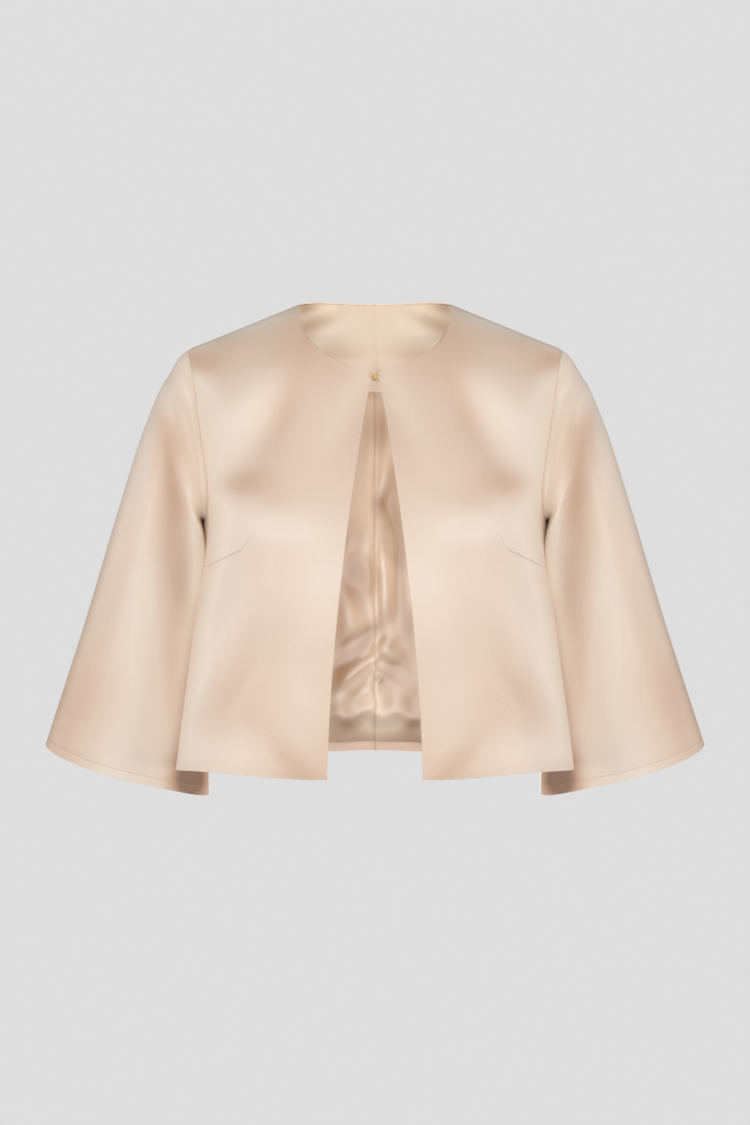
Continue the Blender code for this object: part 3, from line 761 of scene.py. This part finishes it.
def armhole_loop(front, back):
    """Points round the armhole, from the tip down the front and up the back, and the ways across its seam."""
    rows = np.arange(SIDE_ROWS + ARMHOLE_ROWS, SIDE_ROWS - 1, -1)
    rims = []
    for points, normal in (front, back):
        rims.append((points[rows, -1], normal[rows, -1], points[rows - 1, -2]))
    (ahead, ahead_out, ahead_in), (behind, behind_out, behind_in) = rims
    merged = []
    for a, b in ((ahead, behind), (ahead_out, behind_out), (ahead_in, behind_in)):
        tip, low = (a[:1] + b[:1]) / 2, (a[-1:] + b[-1:]) / 2
        merged.append(np.concatenate([tip, a[1:-1], low, b[-2:0:-1]]))
    points, normal, within = merged
    along = np.roll(points, -1, axis=0) - np.roll(points, 1, axis=0)
    across = np.cross(normal, along)
    across /= np.linalg.norm(across, axis=-1, keepdims=True)
    across *= np.sign(np.sum(across * (points - within), axis=-1, keepdims=True))
    return points, across


def sleeve_points(front, back):
    """The sleeve's outer points, in rings from the armhole to the hem, with its folds.

    With them come the directions out of the cloth, each point's distance from the hem and from the armhole,
    and its place on the sleeve's map.
    """
    points, across = armhole_loop(front, back)
    count = len(points)
    lines = []
    for i in range(count):
        turn = 2 * pi * i / count
        knots = [points[i], *[ring_point(row, turn) for row in SLEEVE_RINGS]]
        lines.append(through_knots(knots, across[i], SLEEVE_ROWS))
    grid = np.array(lines).transpose(1, 0, 2)
    normal = grid_normals(grid, closed=True)
    step = np.linalg.norm(np.diff(grid, axis=0), axis=-1)
    travelled = np.concatenate([np.zeros((1, count)), np.cumsum(step, axis=0)])
    percent = 100 * (1 - travelled / travelled[-1:])
    degrees = np.zeros_like(percent) + np.degrees(2 * pi * np.arange(count) / count)
    lift = swell(SLEEVE_SWELLS, degrees, percent) + crease(SLEEVE_CREASES, degrees, percent)
    lift *= 1 - bell(travelled, SLEEVE_FOLD_FADE)
    lift -= ARMHOLE_GROOVE * bell(travelled, SEAM_GROOVE)
    left = travelled[-1:] - travelled
    lift -= HEM_GROOVE_DEPTH * bell(left - SLEEVE_TURN_UP, HEM_GROOVE)
    grid = grid + normal * lift[..., None]
    return grid, grid_normals(grid, closed=True), left, travelled, (degrees, percent)


def stitch_line(name, line, out):
    """A row of stitches along a closed line on the cloth, each a small rounded bar."""
    ends = np.concatenate([line, line[:1]])
    outs = np.concatenate([out, out[:1]])
    length = np.concatenate([[0], np.cumsum(np.linalg.norm(np.diff(ends, axis=0), axis=-1))])
    count = int(length[-1] / STITCH_PITCH)
    points, faces = [], []
    for i in range(count):
        at = (i + np.array(STITCH_PLACES) * (1 - STITCH_GAP)) * length[-1] / count
        middle = np.stack([np.interp(at, length, ends[:, axis]) for axis in range(3)], axis=-1)
        up = np.stack([np.interp(at, length, outs[:, axis]) for axis in range(3)], axis=-1)
        beside = np.cross(up, middle[-1] - middle[0])
        beside /= np.linalg.norm(beside, axis=-1, keepdims=True)
        half = np.array(STITCH_FULLNESS)[:, None] * STITCH_WIDTH / 2
        first = len(points)
        for turn in range(STITCH_SIDES):
            angle = 2 * pi * turn / STITCH_SIDES
            points += list(middle + beside * half * cos(angle) + up * half * (0.3 + sin(angle)))
        starts = [first + turn * len(half) for turn in range(STITCH_SIDES)]
        for a, b in zip(starts, starts[1:] + starts[:1]):
            faces += [(a + j, a + j + 1, b + j + 1, b + j) for j in range(len(half) - 1)]
        faces += [tuple(starts), tuple(a + len(half) - 1 for a in reversed(starts))]
    return new_piece(name, points, faces)


def rod(start, end, radius, sides=10, steps=12):
    """Points and faces of a rod with rounded ends."""
    along = unit(end - start)
    beside = unit(np.cross(along, (0.0, 1.0, 0.0)))
    up = np.cross(along, beside)
    points, faces = [], []
    for step in range(steps + 1):
        angle = pi * step / steps
        middle = (end if step > steps / 2 else start) - along * radius * cos(angle)
        for turn in range(sides):
            around = 2 * pi * turn / sides
            points.append(middle + (beside * cos(around) + up * sin(around)) * radius * max(sin(angle), 0.01))
    for step in range(steps):
        for turn in range(sides):
            a, b = step * sides + turn, step * sides + (turn + 1) % sides
            faces.append([a, b, b + sides, a + sides])
    return points, faces


class Nodes:
    """A material's nodes, with short ways to add and join them."""

    def __init__(self, name):
        self.material = bpy.data.materials.new(name)
        self.material.use_nodes = True
        self.tree = self.material.node_tree
        self.shader = self.tree.nodes["Principled BSDF"]
        place = self.tree.nodes.new("ShaderNodeTexCoord")
        self.object, self.cloth = place.outputs["Object"], place.outputs["UV"]

    def add(self, kind, output, inputs, **settings):
        node = self.tree.nodes.new(kind)
        for setting, value in settings.items():
            setattr(node, setting, value)
        for socket, value in inputs.items():
            if isinstance(value, bpy.types.NodeSocket):
                self.tree.links.new(value, node.inputs[socket])
            else:
                node.inputs[socket].default_value = value
        return node.outputs[output]

    def math(self, operation, first, second=0.0):
        return self.add("ShaderNodeMath", 0, {0: first, 1: second}, operation=operation)

    def noise(self, place, scale, detail=3.0, stretch=(1, 1, 1)):
        scaled = self.add("ShaderNodeMapping", 0, {"Vector": place, "Scale": stretch})
        return self.add("ShaderNodeTexNoise", 0, {"Vector": scaled, "Scale": scale, "Detail": detail})

    def mix(self, amount, under, over):
        inputs = {0: amount, 6: under, 7: (*over, 1)}
        return self.add("ShaderNodeMix", 2, inputs, data_type="RGBA")

    def bump(self, height, strength, distance, under=None):
        inputs = {"Height": height, "Strength": strength, "Distance": distance}
        if under is not None:
            inputs["Normal"] = under
        return self.add("ShaderNodeBump", 0, inputs)

    def ramp(self, factor, low, high, deep, pale):
        node = self.tree.nodes.new("ShaderNodeValToRGB")
        for element, position, colour in zip(node.color_ramp.elements, (low, high), (deep, pale)):
            element.position = position
            element.color = (*colour, 1)
        self.tree.links.new(factor, node.inputs["Fac"])
        return node.outputs["Color"]

    def near_line(self, start, end, half_width):
        """1 on a line that is given across and up on the body's front, on both sides, 0 away from it."""
        parts = self.tree.nodes.new("ShaderNodeSeparateXYZ")
        self.tree.links.new(self.object, parts.inputs[0])
        dx, dz = end[0] - start[0], end[1] - start[1]
        across = self.math("SUBTRACT", self.math("ABSOLUTE", parts.outputs[0]), start[0])
        up = self.math("SUBTRACT", parts.outputs[2], start[1])
        along = self.math("ADD", self.math("MULTIPLY", across, dx), self.math("MULTIPLY", up, dz))
        share = self.math("DIVIDE", along, dx * dx + dz * dz)
        share = self.math("MINIMUM", self.math("MAXIMUM", share, 0.0), 1.0)
        off_x = self.math("SUBTRACT", across, self.math("MULTIPLY", share, dx))
        off_z = self.math("SUBTRACT", up, self.math("MULTIPLY", share, dz))
        squares = self.math("ADD", self.math("MULTIPLY", off_x, off_x), self.math("MULTIPLY", off_z, off_z))
        away = self.math("DIVIDE", self.math("SQRT", squares), half_width)
        return self.math("MAXIMUM", self.math("SUBTRACT", 1.0, away), 0.0)

    def finish(self, **outputs):
        for socket, value in outputs.items():
            self.tree.links.new(value, self.shader.inputs[socket.replace("_", " ")])
        return self.material


# Looks of the cloth, and of the dark line in its seams; that dark colour also serves as painted deep shadow
SEAM_AND_PAINTED_SHADOW_TONE = (0.25, 0.13, 0.07)
SEAM_DARKNESS = 0.35
SATIN_LOOK = {
    "Roughness": 0.50,
    "IOR": 1.60,
    "Specular IOR Level": 1.0,
    "Sheen Weight": 0.03,
    "Sheen Roughness": 0.4,
}
LINING_LOOK = SATIN_LOOK | {"Roughness": 0.42}
# The dart's seam from the side seam to its point, and the crease that fades out above it; each is a groove
# with a darker line, which on the crease is a faint painted shade
DART = [
    # start, end, half_width, depth, darkness
    ((0.1765, -0.2785), (0.1345, -0.2605), 0.0008, 0.0005, 0.50),
    ((0.1345, -0.2605), (0.1240, -0.2440), 0.0018, 0.0004, 0.08),
]
# Each cloth's two close shades, and the colours of its painted shade and painted highlight, which the tone
# tables mix in
TONES = {
    # deep, pale, painted shade, painted highlight
    "satin": ((0.672, 0.466, 0.332), (0.773, 0.553, 0.410), (0.545, 0.322, 0.195), (0.890, 0.750, 0.622)),
    "facing": ((0.640, 0.545, 0.430), (0.680, 0.585, 0.470), (0.490, 0.360, 0.255), (0.820, 0.790, 0.710)),
    "lining": ((0.560, 0.410, 0.285), (0.600, 0.447, 0.313), (0.412, 0.243, 0.136), (0.775, 0.625, 0.475)),
    "thread": ((0.420, 0.290, 0.200), (0.480, 0.340, 0.240), (0.420, 0.290, 0.200), (0.480, 0.340, 0.240)),
}
BLOTCHES = 8.0  # soft blotches to the metre
THREADS = 520.0  # threads to the metre
CREASING = [
    # to_the_metre, strength, depth
    (26.0, 0.30, 0.0012),
    (90.0, 0.20, 0.0004),
]
GILT = (0.86, 0.56, 0.20)
GILT_ROUGHNESS = 0.20


def satin_material(name, tones, look, dart=()):
    """Satin: two close shades in soft blotches, fine threads, a broad gloss and faint creasing."""
    nodes = Nodes(name)
    deep, pale, painted_shade, painted_highlight = tones
    for socket, value in look.items():
        nodes.shader.inputs[socket].default_value = value
    blotch = nodes.noise(nodes.object, BLOTCHES, 4.0)
    threads = nodes.noise(nodes.cloth, THREADS, 3.0, (0.5, 2.0, 1.0))
    cross = nodes.noise(nodes.cloth, THREADS, 2.0, (2.0, 0.5, 1.0))
    grain = nodes.math("ADD", nodes.math("MULTIPLY", threads, 0.6), nodes.math("MULTIPLY", cross, 0.4))
    shade = nodes.math("ADD", nodes.math("MULTIPLY", blotch, 0.55), nodes.math("MULTIPLY", grain, 0.45))
    colour = nodes.ramp(shade, 0.38, 0.62, deep, pale)
    rough = look["Roughness"]
    roughness = nodes.math("ADD", nodes.math("MULTIPLY", blotch, 0.10), rough - 0.05)
    normal = None
    for scale, strength, depth in CREASING:
        normal = nodes.bump(nodes.noise(nodes.object, scale, 2.0), strength, depth, normal)
    normal = nodes.bump(grain, 0.40, 0.00015, normal)
    # The dart's seam as a dark line, and the crease above it with a faint painted shade
    for start, end, half_width, depth, darkness in dart:
        line = nodes.near_line(start, end, half_width)
        normal = nodes.bump(nodes.math("MULTIPLY", line, -1.0), 1.0, depth, normal)
        shadow = nodes.math("MULTIPLY", line, darkness)
        colour = nodes.mix(shadow, colour, SEAM_AND_PAINTED_SHADOW_TONE)
    # Painted highlights and shade: the mesh's tone lightens or darkens the colour, and below -1 paints deep
    # shadow
    tone = nodes.add("ShaderNodeAttribute", "Fac", {}, attribute_name="sheen")
    painted_shade_amount = nodes.math("MULTIPLY", tone, -1.0)
    shadow = nodes.math("SUBTRACT", painted_shade_amount, 1.0)
    for shade, amount in ((painted_highlight, tone), (painted_shade, painted_shade_amount), (SEAM_AND_PAINTED_SHADOW_TONE, shadow)):
        amount = nodes.math("MINIMUM", nodes.math("MAXIMUM", amount, 0.0), 1.0)
        colour = nodes.mix(amount, colour, shade)
    # The seams' dark lines; along the lining's lower edge the line is a painted shadow
    near = nodes.add("ShaderNodeAttribute", "Fac", {}, attribute_name="seam")
    shadow = nodes.math("MULTIPLY", near, SEAM_DARKNESS)
    colour = nodes.mix(shadow, colour, SEAM_AND_PAINTED_SHADOW_TONE)
    return nodes.finish(Base_Color=colour, Roughness=roughness, Normal=normal)


def metal_material(name, colour, roughness):
    """Polished metal with fine, slightly darker and duller wear."""
    nodes = Nodes(name)
    nodes.shader.inputs["Metallic"].default_value = 1.0
    wear = nodes.noise(nodes.object, 1500.0, 3.0)
    tone = nodes.ramp(wear, 0.35, 0.65, [c * 0.8 for c in colour], colour)
    rough = nodes.math("ADD", nodes.math("MULTIPLY", wear, 0.2), roughness)
    return nodes.finish(Base_Color=tone, Roughness=rough, Normal=nodes.bump(wear, 0.2, 0.00005))


def dress(piece, material, slot, *nodes):
    piece.data.materials.clear()
    piece.data.materials.append(material)
    if nodes:
        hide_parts(*nodes)
    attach(piece, "root")
    return piece


satin = satin_material("champagne satin", TONES["satin"], SATIN_LOOK)
front_satin = satin_material("champagne satin with dart", TONES["satin"], SATIN_LOOK, DART)
facing_satin = satin_material("champagne satin of the facing", TONES["facing"], SATIN_LOOK)
lining = satin_material("lining satin", TONES["lining"], LINING_LOOK)
thread = satin_material("sewing thread", TONES["thread"], LINING_LOOK)
gilt = metal_material("gilt wire", GILT, GILT_ROUGHNESS)


def back_lining(back_points, back_out, heights, side):
    """The loose lining's outer points on one side, with its folds, and how it bulges over the hem."""
    x = side * back_points[..., 0]
    above = above_hem(back_points)
    lift = swell(LINING_SWELLS, x, heights) + crease(LINING_PUCKERS, x, heights)
    lift *= 1 - bell(above, PLEAT_CLEAR)
    crest = PLEAT_RISE
    for height, shift, length in PLEAT_WAVES:
        crest = crest + height * np.cos(2 * pi * (x + shift) / length)
    lift += PLEAT_DEPTH * bell(above - crest, np.where(above < crest, PLEAT_BELOW, PLEAT_ABOVE))
    lift += WAVE_DEPTH * (1 + np.cos(2 * pi * (x - WAVE_SHIFT) / WAVE_LENGTH))
    below_top = np.linalg.norm(back_points - back_points[-1:], axis=-1)
    lift *= 1 - bell(below_top, LINING_FOLD_FADE)
    lift *= 1 - bell(distance_to_edge(back_points), LINING_FOLD_FADE)
    inset = LINING_INSET + LINING_STAND + np.maximum(lift, -LINING_SINK)
    return back_points - back_out * inset[..., None]


front_map = front_grid()
back_map = back_grid()
front = body_panel(FRONT, front_map, FRONT_SWELLS, FRONT_CREASES, False)
back = body_panel(BACK, back_map, BACK_SWELLS, BACK_CREASES, True)
sleeve, sleeve_out, above_sleeve_hem, below_armhole, sleeve_map = sleeve_points(front, back)
sleeve_wall = wall_with_hem(above_sleeve_hem, SLEEVE_TURN_UP)
columns = np.arange(sleeve.shape[1])
stitch_row = np.argmin(np.abs(above_sleeve_hem - SLEEVE_TURN_UP), axis=0)
stitch_places = sleeve[stitch_row, columns]
stitch_out = sleeve_out[stitch_row, columns]
lining_start = int(np.argmin(np.abs(above_hem(back[0])[:, 0] - LINING_RISE)))
lining_rows = slice(lining_start, -FACING_ROWS)
back[0][:, 0, 0] = 0.0

BODY_PANELS = [
    # node, beside, points and directions, map, painted highlight and shade tones, material, area
    ("front", "back", front, front_map, FRONT_PAINTED_SHADING, front_satin, 0.094),
    ("back", "front", back, back_map, BACK_PAINTED_SHADING, satin, 0.115),
]
for side, word in ((1, "left"), (-1, "right")):
    for node, beside, (points, out), panel_map, table, material, area in BODY_PANELS:
        inner = points - out * wall_with_hem(above_hem(points), BODY_TURN_UP)[..., None]
        if node == "back":
            inner[:, 0, 0] = 0.0
            line = points[..., 0]
        else:
            line = to_shoulder_line(points)
        seam = np.minimum(distance_to_edge(points), line)
        # The panel's painted highlights and painted shade
        tones = swell(table, points[..., 0], panel_map[1])
        outer, inner = mirrored(points, side), mirrored(inner, side)
        piece = build_shell(f"{node}_{word}_satin", outer, inner, seam=seam, sheen=tones)
        dress(piece, material, "satin", f"{node}_{word}")
    inner = sleeve - sleeve_out * sleeve_wall[..., None]
    outer, inner = mirrored(sleeve, side), mirrored(inner, side)
    degrees, percent = sleeve_map
    # The sleeve's painted highlights and painted shade, with its patches wrapped round past the outer edge
    tones = swell(SLEEVE_PAINTED_SHADING, degrees, percent) + swell(SLEEVE_PAINTED_SHADING, degrees - 360, percent)
    piece = build_shell(f"sleeve_{word}_satin", outer, inner, True, below_armhole, tones)
    dress(piece, satin, "satin", f"sleeve_{word}")
    places, directions = mirrored(stitch_places, side), mirrored(stitch_out, side)
    stitches = stitch_line(f"sleeve_{word}_stitches", places, directions)
    dress(stitches, thread, "satin")
    near = back_lining(back[0][lining_rows], back[1][lining_rows], back_map[1][lining_rows], side)
    near[:, 0, 0] = 0.0
    far = near + grid_normals(near) * BACK.facing * LINING_WALL
    far[:, 0, 0] = 0.0
    # The lining's middle seam as a dark line, and a painted shadow line along its lower edge
    seam = np.minimum(np.abs(near[..., 0]), above_hem(near))
    # The lining's painted highlights and painted shade
    tones = swell(LINING_PAINTED_SHADING, near[..., 0] * side, back_map[1][lining_rows])
    near, far = mirrored(near, side), mirrored(far, side)
    piece = build_shell(f"back_lining_{word}_cloth", near, far, seam=seam, sheen=tones, rim=LINING_RIM)
    dress(piece, lining, "lining", f"back_lining_{word}")

rows = slice(-FACING_ROWS - 1, None)
half, half_out = back[0][rows], back[1][rows]
points = np.concatenate([mirrored(half[:, :0:-1], -1), half], axis=1)
out = np.concatenate([mirrored(half_out[:, :0:-1], -1), half_out], axis=1)
below_neck = np.linalg.norm(points - points[-1:], axis=-1)
lift = crease(FACING_CREASES, np.abs(points[..., 0]), points[..., 2])
lift *= (1 - bell(below_neck, FACING_TOP_FADE)) * (1 - bell(above_hem(points), FACING_LOW_FADE))
lift -= NECK_GROOVE_DEPTH * bell(below_neck - NECK_EDGE, NECK_GROOVE)
near = points - out * (LINING_INSET + lift)[..., None]
far = near + grid_normals(near) * BACK.facing * FACING_WALL
# The facing's painted highlights and painted shade, with painted shade in its corners
tones = swell(FACING_PAINTED_SHADING, np.abs(near[..., 0]), near[..., 2])
facing = build_shell("back_neck_facing_satin", near, far, sheen=tones)
dress(facing, facing_satin, "satin", "back_neck_facing")

for node in ("hook", "eye"):
    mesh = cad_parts[node].data
    mesh.materials.clear()
    mesh.materials.append(gilt)

for name, legs in CROSS.items():
    points, faces = [], []
    for x_1, up_1, x_2, up_2, radius in legs:
        height = -FRONT_NECK_DROP - CROSS_DROP
        ends = FRONT.points(np.array([0.0, 0.0]), np.array([height + up_1, height + up_2]))
        ends[:, 0] = x_1, x_2
        ends[:, 1] -= CROSS_STAND
        rod_points, rod_faces = rod(ends[0], ends[1], radius)
        faces += [[corner + len(points) for corner in face] for face in rod_faces]
        points += rod_points
    dress(new_piece(name, points, faces), gilt, "gilt_wire")

# The studio: a pale floor well below the jacket, out of the front view, and soft light
FLOOR_RADIUS = 1.0
FLOOR_HEIGHT = -1.35
floor_mesh = bmesh.new()
bmesh.ops.create_circle(floor_mesh, cap_ends=True, segments=96, radius=FLOOR_RADIUS)
floor_data = bpy.data.meshes.new("studio floor")
floor_mesh.to_mesh(floor_data)
floor_mesh.free()
floor = bpy.data.objects.new("studio floor", floor_data)
floor.location = (0, 0, FLOOR_HEIGHT)
bpy.context.scene.collection.objects.link(floor)
paint = Nodes("studio floor")
paint.shader.inputs["Roughness"].default_value = 0.8
floor_tone = paint.ramp(paint.noise(paint.object, 6.0), 0.3, 0.7, (0.70, 0.70, 0.70), (0.73, 0.73, 0.73))
floor_data.materials.append(paint.finish(Base_Color=floor_tone))

LIGHTS = [
    # name, x, y, z, aim_y, aim_z, width, height, power
    ("front softbox", 0.0, -2.6, -0.50, 0.0, -0.27, 2.4, 0.9, 19),
    ("left softbox", -2.1, -1.7, -0.35, 0.0, -0.27, 1.4, 0.9, 17),
    ("right softbox", 2.1, -1.7, -0.35, 0.0, -0.27, 1.4, 0.9, 17),
    ("left fill", -2.2, 0.3, -0.20, 0.0, -0.27, 1.2, 1.2, 6),
    ("right fill", 2.2, 0.3, -0.20, 0.0, -0.27, 1.2, 1.2, 6),
    ("neck softbox", 0.0, -1.3, 1.20, 0.0, -0.03, 0.7, 0.5, 6),
    ("neck strip", 0.0, -0.035, -0.040, 0.10, -0.040, 0.09, 0.05, 0.10),
    ("inner strip", 0.0, -0.095, -0.33, 0.10, -0.33, 0.05, 0.28, 0.24),
    ("back softbox", 0.0, 2.6, -0.45, 0.0, -0.27, 1.6, 1.1, 34),
]
for name, x, y, z, aim_y, aim_z, width, height, power in LIGHTS:
    light = bpy.data.lights.new(name, "AREA")
    light.shape = "RECTANGLE"
    light.size, light.size_y = width, height
    light.energy = power
    lamp = bpy.data.objects.new(name, light)
    lamp.location = (x, y, z)
    lamp.rotation_euler = (Vector((0, aim_y, aim_z)) - lamp.location).to_track_quat("-Z", "Y").to_euler()
    lamp.visible_camera = False
    bpy.context.scene.collection.objects.link(lamp)

# The world is the plain backdrop to the camera, and a weaker light to the cloth
BACKDROP = (0.73, 0.73, 0.73, 1)
CLOTH_LIGHT = 0.42
world = bpy.data.worlds.new("studio")
bpy.context.scene.world = world
world.use_nodes = True
tree = world.node_tree
background = tree.nodes["Background"]
background.inputs["Color"].default_value = BACKDROP
seen = tree.nodes.new("ShaderNodeLightPath").outputs["Is Camera Ray"]
strength = tree.nodes.new("ShaderNodeMapRange")
strength.inputs["To Min"].default_value = CLOTH_LIGHT
strength.inputs["To Max"].default_value = 1.0
tree.links.new(seen, strength.inputs["Value"])
tree.links.new(strength.outputs["Result"], background.inputs["Strength"])

# The camera stands level with the jacket's middle, straight in front
CAMERA_LENS = 56.4
CAMERA_AWAY = 1.85
CAMERA_HEIGHT = -0.2725
camera_data = bpy.data.cameras.new("camera")
camera_data.lens = CAMERA_LENS
camera_data.sensor_width = 36
camera = bpy.data.objects.new("camera", camera_data)
camera.location = (0, -CAMERA_AWAY, CAMERA_HEIGHT)
camera.rotation_euler = (radians(90), 0, 0)
bpy.context.scene.collection.objects.link(camera)
bpy.context.scene.camera = camera
bpy.context.scene.view_settings.view_transform = "Standard"
